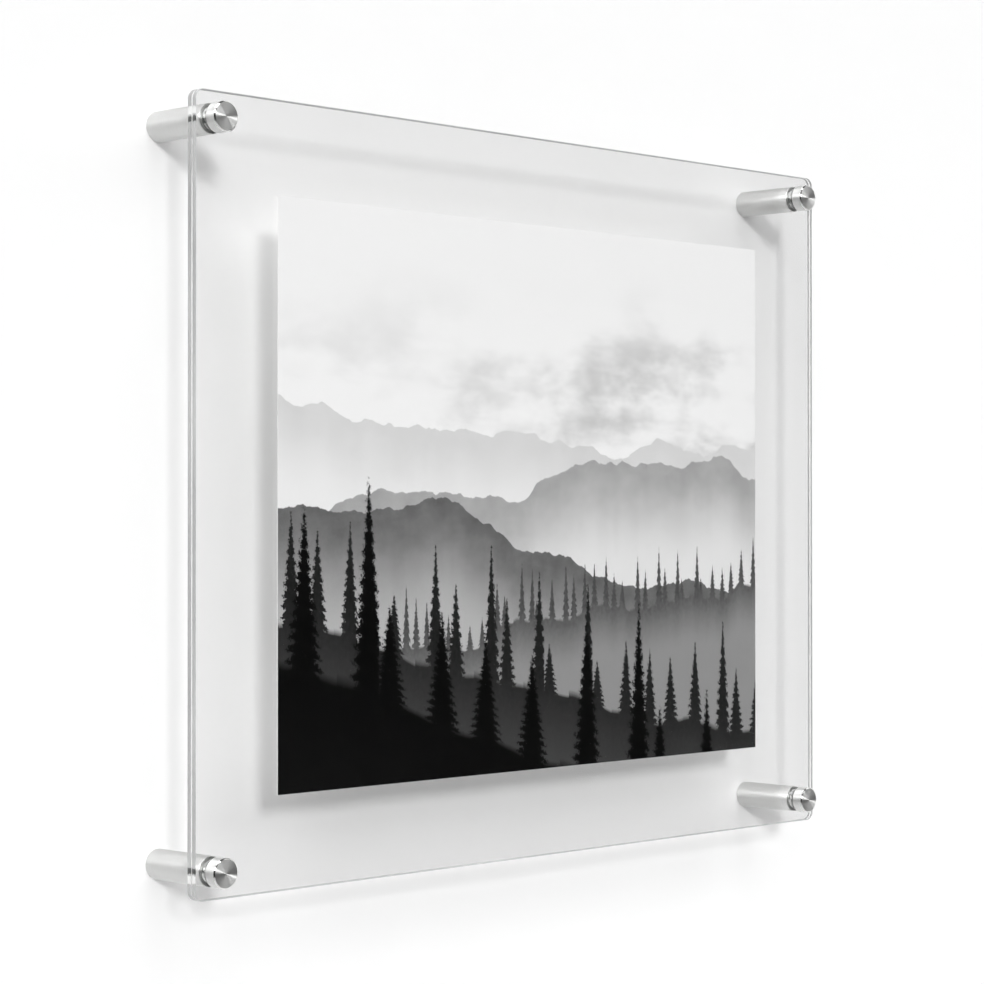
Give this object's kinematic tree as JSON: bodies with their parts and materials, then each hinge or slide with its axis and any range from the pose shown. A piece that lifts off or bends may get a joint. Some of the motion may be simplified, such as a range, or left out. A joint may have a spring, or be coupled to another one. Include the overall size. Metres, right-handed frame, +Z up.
{
  "type": "floating acrylic frame",
  "caption": "Floating wall frame: clear acrylic sheets clamp a landscape print and stand off the wall on round metal barrels with screw-on caps in the corners.",
  "frame": {"origin": "middle of the frame on the wall's surface", "axes": "+Z up, +X right as seen from the front, +Y into the wall"},
  "size_m": [0.4572, 0.0831, 0.3682],
  "materials": {
    "acrylic": "clear polished",
    "print_paper": "satin photo paper",
    "satin_metal": "satin",
    "turned_metal": "turned, bright",
    "stud_steel": "plain thread",
    "clear_washer": "clear vinyl",
    "zinc_screw": "zinc plated",
    "nylon_anchor": "moulded"
  },
  "bodies": {
    "wall_hardware": {"barrel_top_left": "satin_metal", "barrel_top_right": "satin_metal", "barrel_bottom_left": "satin_metal", "barrel_bottom_right": "satin_metal", "rear_washer_top_left": "clear_washer", "rear_washer_top_right": "clear_washer", "rear_washer_bottom_left": "clear_washer", "rear_washer_bottom_right": "clear_washer", "wall_screw_top_left": "zinc_screw", "wall_screw_top_right": "zinc_screw", "wall_screw_bottom_left": "zinc_screw", "wall_screw_bottom_right": "zinc_screw", "wall_anchor_top_left": "nylon_anchor", "wall_anchor_top_right": "nylon_anchor", "wall_anchor_bottom_left": "nylon_anchor", "wall_anchor_bottom_right": "nylon_anchor"},
    "back_panel": {"back_panel": "acrylic"},
    "print": {"print": "print_paper"},
    "front_panel": {"front_panel": "acrylic"},
    "front_washer_top_left": {"front_washer_top_left": "clear_washer"},
    "cap_top_left": {"cap_top_left": "turned_metal", "stud_top_left": "stud_steel"},
    "front_washer_top_right": {"front_washer_top_right": "clear_washer"},
    "cap_top_right": {"cap_top_right": "turned_metal", "stud_top_right": "stud_steel"},
    "front_washer_bottom_left": {"front_washer_bottom_left": "clear_washer"},
    "cap_bottom_left": {"cap_bottom_left": "turned_metal", "stud_bottom_left": "stud_steel"},
    "front_washer_bottom_right": {"front_washer_bottom_right": "clear_washer"},
    "cap_bottom_right": {"cap_bottom_right": "turned_metal", "stud_bottom_right": "stud_steel"}
  },
  "joints": [
    {"name": "back_panel_lift_off", "type": "slide", "parent": "wall_hardware", "child": "back_panel", "axis": [0, -1, 0], "range_m": [0, 0.06]},
    {"name": "front_panel_lift_off", "type": "slide", "parent": "back_panel", "child": "front_panel", "axis": [0, -1, 0], "range_m": [0, 0.08]},
    {"name": "print_slide_out", "type": "slide", "parent": "back_panel", "child": "print", "axis": [0, 0, 1], "range_m": [0, 0.33]},
    {"name": "cap_travel_top_left", "type": "slide", "parent": "front_panel", "child": "front_washer_top_left", "axis": [0, -1, 0], "range_m": [0, 0.012]},
    {"name": "cap_turn_top_left", "type": "hinge", "parent": "front_washer_top_left", "child": "cap_top_left", "pos_m": [-0.2161, 0, 0.17165], "axis": [0, -1, 0], "range_deg": [0, 2880]},
    {"name": "cap_travel_top_right", "type": "slide", "parent": "front_panel", "child": "front_washer_top_right", "axis": [0, -1, 0], "range_m": [0, 0.012]},
    {"name": "cap_turn_top_right", "type": "hinge", "parent": "front_washer_top_right", "child": "cap_top_right", "pos_m": [0.2161, 0, 0.17165], "axis": [0, -1, 0], "range_deg": [0, 2880]},
    {"name": "cap_travel_bottom_left", "type": "slide", "parent": "front_panel", "child": "front_washer_bottom_left", "axis": [0, -1, 0], "range_m": [0, 0.012]},
    {"name": "cap_turn_bottom_left", "type": "hinge", "parent": "front_washer_bottom_left", "child": "cap_bottom_left", "pos_m": [-0.2161, 0, -0.17165], "axis": [0, -1, 0], "range_deg": [0, 2880]},
    {"name": "cap_travel_bottom_right", "type": "slide", "parent": "front_panel", "child": "front_washer_bottom_right", "axis": [0, -1, 0], "range_m": [0, 0.012]},
    {"name": "cap_turn_bottom_right", "type": "hinge", "parent": "front_washer_bottom_right", "child": "cap_bottom_right", "pos_m": [0.2161, 0, -0.17165], "axis": [0, -1, 0], "range_deg": [0, 2880]}
  ],
  "couplings": [
    {"joint": "cap_travel_top_left", "follows": "cap_turn_top_left", "m_per_rad": 0.00023873},
    {"joint": "cap_travel_top_right", "follows": "cap_turn_top_right", "m_per_rad": 0.00023873},
    {"joint": "cap_travel_bottom_left", "follows": "cap_turn_bottom_left", "m_per_rad": 0.00023873},
    {"joint": "cap_travel_bottom_right", "follows": "cap_turn_bottom_right", "m_per_rad": 0.00023873}
  ]
}
